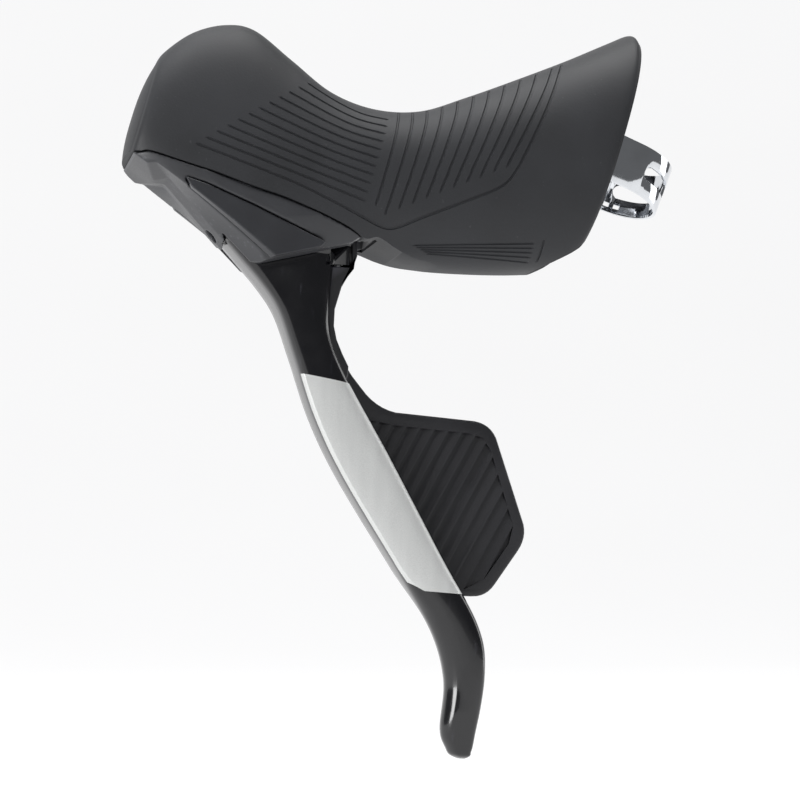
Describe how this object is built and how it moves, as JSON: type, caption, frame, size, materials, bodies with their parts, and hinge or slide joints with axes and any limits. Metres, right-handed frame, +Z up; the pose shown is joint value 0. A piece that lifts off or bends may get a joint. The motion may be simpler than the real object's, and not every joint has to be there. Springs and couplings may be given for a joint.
{
  "type": "brake shift lever",
  "caption": "Left-hand drop-bar brake shift lever: rubber-covered grip with a hydraulic cylinder inside, a curved brake blade, a ribbed shift paddle behind it and a chromed bar clamp.",
  "frame": {"origin": "on the handlebar's axis, at the middle of the clamp band", "axes": "+X rearwards, +Y inboard (this is a left-hand lever), +Z up as ridden"},
  "size_m": [0.142, 0.0426, 0.1856],
  "materials": {
    "hood_rubber": "matte black moulded rubber with fine grooves",
    "housing_plastic": "dark grey fibre-filled nylon, lighter on the front face",
    "trim_plastic": "satin dark grey plastic",
    "paddle_plastic": "matte black plastic with sawtooth ribs",
    "lever_gloss": "gloss black paint over aluminium",
    "badge_silver": "satin silver film",
    "band_chrome": "polished stainless steel",
    "steel": "plain steel",
    "brass": "plain brass",
    "alloy": "anodised aluminium",
    "seal_rubber": "black rubber",
    "board_green": "green solder mask",
    "sensor_black": "black moulded chip",
    "clear_lens": "clear plastic"
  },
  "bodies": {
    "root": {"hood_cover": "hood_rubber", "lever_body": "housing_plastic", "side_cover_outboard": "trim_plastic", "side_cover_inboard": "trim_plastic", "reservoir_bladder": "seal_rubber", "reservoir_cap": "housing_plastic", "reservoir_cap_screw_1": "steel", "reservoir_cap_screw_2": "steel", "piston_spring": "steel", "cylinder_snap_ring": "steel", "cylinder_plug": "alloy", "cylinder_plug_seal": "seal_rubber", "bleed_screw": "steel", "hose_nut": "steel", "hose_olive": "brass", "circuit_board": "board_green", "battery_contact": "brass", "coin_battery": "steel", "shift_sensor": "sensor_black", "function_switch": "steel", "light_pipe": "clear_lens", "battery_gasket": "seal_rubber", "battery_door": "housing_plastic", "battery_door_screw_1": "steel", "battery_door_screw_2": "steel", "pivot_pin": "steel", "lever_return_spring_outboard": "steel", "lever_return_spring_inboard": "steel"},
    "brake_lever": {"brake_lever_blade": "lever_gloss", "lever_bushing_outboard": "brass", "lever_bushing_inboard": "brass", "pushrod_barrel": "steel", "lever_badge": "badge_silver", "paddle_pin": "steel"},
    "paddle": {"shift_paddle": "paddle_plastic", "paddle_magnet": "steel"},
    "reach_screw": {"reach_screw": "steel"},
    "piston": {"brake_piston": "alloy", "primary_seal": "seal_rubber", "secondary_seal": "seal_rubber", "pushrod": "steel"},
    "function_button": {"function_button": "trim_plastic"},
    "clamp_slide": {"clamp_band": "band_chrome", "clamp_nut": "steel"},
    "clamp_bolt": {"clamp_bolt": "steel"}
  },
  "joints": [
    {"name": "brake_lever_pivot", "type": "hinge", "parent": "root", "child": "brake_lever", "pos_m": [-0.104, 0, -0.011], "axis": [0, -1, 0], "range_deg": [0, 18], "stiffness_Nm_per_rad": 0.5, "springref_deg": -14.32},
    {"name": "shift_paddle_pivot", "type": "hinge", "parent": "brake_lever", "child": "paddle", "pos_m": [-0.0738, 0, -0.0245], "axis": [0.1987, 0, 0.9801], "range_deg": [0, 8], "stiffness_Nm_per_rad": 0.3, "springref_deg": -11.46},
    {"name": "reach_screw_turn", "type": "hinge", "parent": "brake_lever", "child": "reach_screw", "pos_m": [-0.1012, 0, -0.0174], "axis": [-0.8319, 0, -0.5549], "range_deg": [-360, 360]},
    {"name": "piston_slide", "type": "slide", "parent": "root", "child": "piston", "axis": [0, 0, 1], "range_m": [0, 0.0031], "deforming": ["piston_spring"]},
    {"name": "function_button_press", "type": "slide", "parent": "root", "child": "function_button", "axis": [0, -1, 0], "range_m": [0, 0.0003], "stiffness_N_per_m": 800, "springref_m": -0.001},
    {"name": "clamp_bolt_turn", "type": "hinge", "parent": "root", "child": "clamp_bolt", "pos_m": [-0.02247, 0, 0.00898], "axis": [-0.9287, 0, 0.3709], "range_deg": [0, 900]},
    {"name": "clamp_band_slide", "type": "slide", "parent": "root", "child": "clamp_slide", "axis": [-0.9287, 0, 0.3709], "range_m": [0, 0.002]}
  ],
  "couplings": [
    {"joint": "piston_slide", "follows": "brake_lever_pivot", "m_per_rad": 0.0096},
    {"joint": "clamp_bolt_turn", "follows": "clamp_band_slide", "rad_per_m": 7854}
  ]
}
